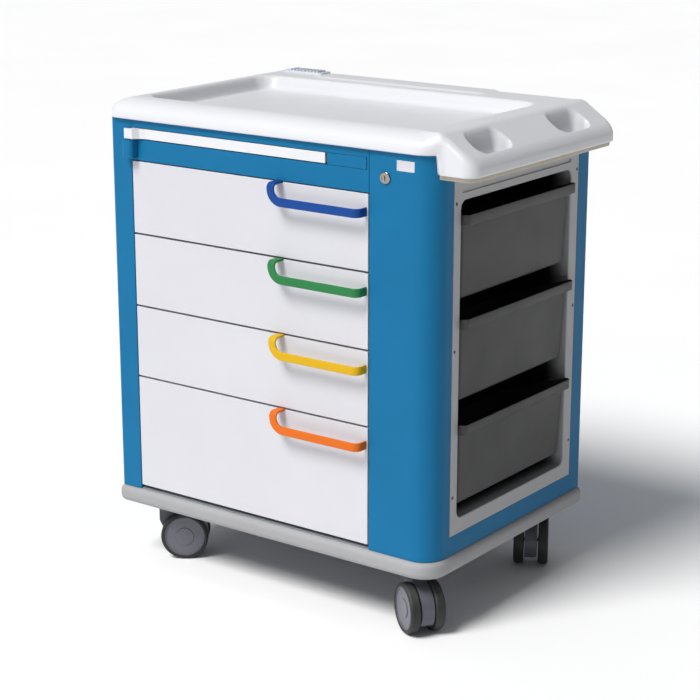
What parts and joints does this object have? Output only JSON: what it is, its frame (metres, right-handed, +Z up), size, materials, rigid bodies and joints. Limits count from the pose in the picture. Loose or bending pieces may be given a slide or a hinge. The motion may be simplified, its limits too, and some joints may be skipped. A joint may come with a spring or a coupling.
{
  "type": "ward cabinet trolley",
  "caption": "Wheeled ward cabinet with strap-handled drawers, tilting side bins, a sliding shelf, a moulded tray top with a push handle, a lock and twin-wheel castors.",
  "frame": {"origin": "on the floor, under the centre of the whole object's bounding box at rest", "axes": "+Z up, -Y towards the drawer fronts, +X towards the push handle and the side bins"},
  "size_m": [0.863, 0.596, 0.985],
  "materials": {
    "chassis_steel": "satin powder coat",
    "deck_steel": "satin powder coat",
    "bumper_grey": "matt moulded",
    "blue_steel": "semi-gloss powder coat",
    "white_moulding": "satin moulded",
    "tray_white": "semi-gloss moulded",
    "cream_plastic": "matt moulded",
    "clip_plastic": "semi-gloss moulded",
    "zinc_steel": "bright zinc plate",
    "chrome": "polished",
    "shelf_white": "satin moulded",
    "drawer_white": "satin powder coat",
    "drawer_inside": "satin powder coat",
    "handle_blue": "semi-gloss moulded",
    "handle_green": "semi-gloss moulded",
    "handle_yellow": "semi-gloss moulded",
    "handle_orange": "semi-gloss moulded",
    "bin_grey": "satin moulded",
    "castor_grey": "satin moulded",
    "hub_grey": "satin moulded",
    "tyre_black": "matt",
    "pedal_black": "matt"
  },
  "bodies": {
    "cabinet": {"base_frame": "chassis_steel", "base_deck": "deck_steel", "base_bumper": "bumper_grey", "left_shell": "blue_steel", "right_shell": "blue_steel", "back_panel": "blue_steel", "left_liner": "deck_steel", "inner_partition": "deck_steel", "top_rail": "blue_steel", "slot_blanking_plate": "blue_steel", "shelf_catch": "blue_steel", "bin_surround": "white_moulding", "top_tray": "tray_white", "handle_lower_shell": "cream_plastic", "rear_clip": "clip_plastic", "shelf_runners": "zinc_steel", "drawer_outer_rails": "zinc_steel", "lock_barrel": "chrome", "surround_screws": "zinc_steel", "castor_plates": "chassis_steel"},
    "shelf": {"writing_shelf": "shelf_white"},
    "drawer_1": {"drawer_front_1": "drawer_white", "drawer_box_1": "drawer_inside", "drawer_handle_1": "handle_blue", "drawer_inner_rails_1": "zinc_steel"},
    "mid_rails_1": {"drawer_mid_rails_1": "zinc_steel"},
    "drawer_2": {"drawer_front_2": "drawer_white", "drawer_box_2": "drawer_inside", "drawer_handle_2": "handle_green", "drawer_inner_rails_2": "zinc_steel"},
    "mid_rails_2": {"drawer_mid_rails_2": "zinc_steel"},
    "drawer_3": {"drawer_front_3": "drawer_white", "drawer_box_3": "drawer_inside", "drawer_handle_3": "handle_yellow", "drawer_inner_rails_3": "zinc_steel"},
    "mid_rails_3": {"drawer_mid_rails_3": "zinc_steel"},
    "drawer_4": {"drawer_front_4": "drawer_white", "drawer_box_4": "drawer_inside", "drawer_handle_4": "handle_orange", "drawer_inner_rails_4": "zinc_steel"},
    "mid_rails_4": {"drawer_mid_rails_4": "zinc_steel"},
    "bin_1": {"side_bin_1": "bin_grey"},
    "bin_2": {"side_bin_2": "bin_grey"},
    "bin_3": {"side_bin_3": "bin_grey"},
    "lock_plug": {"lock_plug": "chrome"},
    "lock_bar": {"lock_bar": "zinc_steel"},
    "castor_front_left": {"castor_body_front_left": "castor_grey"},
    "wheels_front_left": {"castor_hubs_front_left": "hub_grey", "castor_tyres_front_left": "tyre_black"},
    "pedal_front_left": {"brake_pedal_front_left": "pedal_black"},
    "castor_front_right": {"castor_body_front_right": "castor_grey"},
    "wheels_front_right": {"castor_hubs_front_right": "hub_grey", "castor_tyres_front_right": "tyre_black"},
    "castor_rear_left": {"castor_body_rear_left": "castor_grey"},
    "wheels_rear_left": {"castor_hubs_rear_left": "hub_grey", "castor_tyres_rear_left": "tyre_black"},
    "pedal_rear_left": {"brake_pedal_rear_left": "pedal_black"},
    "castor_rear_right": {"castor_body_rear_right": "castor_grey"},
    "wheels_rear_right": {"castor_hubs_rear_right": "hub_grey", "castor_tyres_rear_right": "tyre_black"}
  },
  "joints": [
    {"name": "shelf_slide", "type": "slide", "parent": "cabinet", "child": "shelf", "axis": [0, -1, 0], "range_m": [0, 0.3]},
    {"name": "drawer_1_slide", "type": "slide", "parent": "cabinet", "child": "drawer_1", "axis": [0, -1, 0], "range_m": [0, 0.42]},
    {"name": "mid_rails_1_slide", "type": "slide", "parent": "cabinet", "child": "mid_rails_1", "axis": [0, -1, 0], "range_m": [0, 0.21]},
    {"name": "drawer_2_slide", "type": "slide", "parent": "cabinet", "child": "drawer_2", "axis": [0, -1, 0], "range_m": [0, 0.42]},
    {"name": "mid_rails_2_slide", "type": "slide", "parent": "cabinet", "child": "mid_rails_2", "axis": [0, -1, 0], "range_m": [0, 0.21]},
    {"name": "drawer_3_slide", "type": "slide", "parent": "cabinet", "child": "drawer_3", "axis": [0, -1, 0], "range_m": [0, 0.42]},
    {"name": "mid_rails_3_slide", "type": "slide", "parent": "cabinet", "child": "mid_rails_3", "axis": [0, -1, 0], "range_m": [0, 0.21]},
    {"name": "drawer_4_slide", "type": "slide", "parent": "cabinet", "child": "drawer_4", "axis": [0, -1, 0], "range_m": [0, 0.42]},
    {"name": "mid_rails_4_slide", "type": "slide", "parent": "cabinet", "child": "mid_rails_4", "axis": [0, -1, 0], "range_m": [0, 0.21]},
    {"name": "bin_1_tilt", "type": "hinge", "parent": "cabinet", "child": "bin_1", "pos_m": [0.3305, 0.011, 0.6685], "axis": [0, 1, 0], "range_deg": [0, 28]},
    {"name": "bin_2_tilt", "type": "hinge", "parent": "cabinet", "child": "bin_2", "pos_m": [0.3305, 0.011, 0.4705], "axis": [0, 1, 0], "range_deg": [0, 28]},
    {"name": "bin_3_tilt", "type": "hinge", "parent": "cabinet", "child": "bin_3", "pos_m": [0.3305, 0.011, 0.264], "axis": [0, 1, 0], "range_deg": [0, 28]},
    {"name": "lock_turn", "type": "hinge", "parent": "cabinet", "child": "lock_plug", "pos_m": [0.2525, -0.268, 0.889], "axis": [0, 1, 0], "range_deg": [0, 90.5]},
    {"name": "lock_bar_lift", "type": "slide", "parent": "cabinet", "child": "lock_bar", "axis": [0, 0, 1], "range_m": [0, 0.012]},
    {"name": "front_left_swivel", "type": "hinge", "parent": "cabinet", "child": "castor_front_left", "pos_m": [-0.3455, -0.208, 0.122], "axis": [0, 0, 1], "continuous": true},
    {"name": "front_left_roll", "type": "hinge", "parent": "castor_front_left", "child": "wheels_front_left", "pos_m": [-0.31961, -0.18919, 0.05], "axis": [-0.5878, 0.809, 0], "continuous": true},
    {"name": "front_left_brake", "type": "hinge", "parent": "castor_front_left", "child": "pedal_front_left", "pos_m": [-0.31557, -0.18625, 0.108], "axis": [-0.5878, 0.809, 0], "range_deg": [0, 8]},
    {"name": "front_right_swivel", "type": "hinge", "parent": "cabinet", "child": "castor_front_right", "pos_m": [0.2825, -0.208, 0.122], "axis": [0, 0, 1], "continuous": true},
    {"name": "front_right_roll", "type": "hinge", "parent": "castor_front_right", "child": "wheels_front_right", "pos_m": [0.30903, -0.22589, 0.05], "axis": [0.5592, 0.829, 0], "continuous": true},
    {"name": "rear_left_swivel", "type": "hinge", "parent": "cabinet", "child": "castor_rear_left", "pos_m": [-0.3455, 0.232, 0.122], "axis": [0, 0, 1], "continuous": true},
    {"name": "rear_left_roll", "type": "hinge", "parent": "castor_rear_left", "child": "wheels_rear_left", "pos_m": [-0.31543, 0.24294, 0.05], "axis": [-0.342, 0.9397, 0], "continuous": true},
    {"name": "rear_left_brake", "type": "hinge", "parent": "castor_rear_left", "child": "pedal_rear_left", "pos_m": [-0.31073, 0.24466, 0.108], "axis": [-0.342, 0.9397, 0], "range_deg": [0, 8]},
    {"name": "rear_right_swivel", "type": "hinge", "parent": "cabinet", "child": "castor_rear_right", "pos_m": [0.2825, 0.232, 0.122], "axis": [0, 0, 1], "continuous": true},
    {"name": "rear_right_roll", "type": "hinge", "parent": "castor_rear_right", "child": "wheels_rear_right", "pos_m": [0.2985, 0.20429, 0.05], "axis": [0.866, 0.5, 0], "continuous": true}
  ],
  "couplings": [
    {"joint": "mid_rails_1_slide", "follows": "drawer_1_slide", "ratio": 0.5},
    {"joint": "mid_rails_2_slide", "follows": "drawer_2_slide", "ratio": 0.5},
    {"joint": "mid_rails_3_slide", "follows": "drawer_3_slide", "ratio": 0.5},
    {"joint": "mid_rails_4_slide", "follows": "drawer_4_slide", "ratio": 0.5},
    {"joint": "lock_turn", "follows": "lock_bar_lift", "rad_per_m": 130.9}
  ]
}
